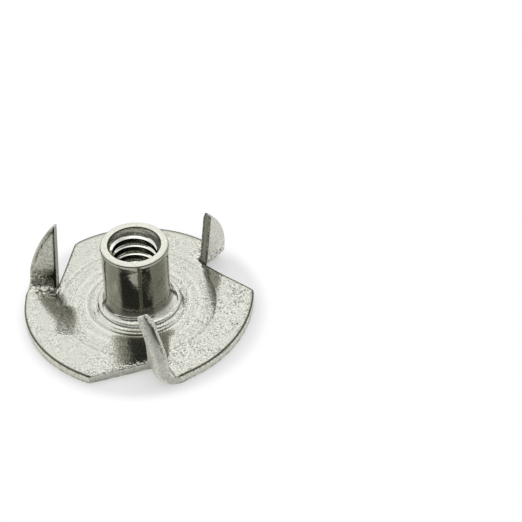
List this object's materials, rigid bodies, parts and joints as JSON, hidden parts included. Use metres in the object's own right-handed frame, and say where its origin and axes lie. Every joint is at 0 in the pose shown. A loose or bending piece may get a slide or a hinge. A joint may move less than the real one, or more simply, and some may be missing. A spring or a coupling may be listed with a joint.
{
  "type": "tee nut",
  "caption": "Stamped steel tee nut: round flange slit and folded into prongs round a short tapped barrel, driven into wood to give it a machine thread.",
  "frame": {"origin": "on the axis of the barrel, in the plane of the flange's outer face", "axes": "+Z along the barrel towards its open end; one prong stands over the -Y side"},
  "size_m": [0.022, 0.0222, 0.0085],
  "materials": {
    "steel": "satin bright stainless steel, pressed and tumbled"
  },
  "bodies": {
    "root": {"tee_nut": "steel"}
  },
  "joints": []
}
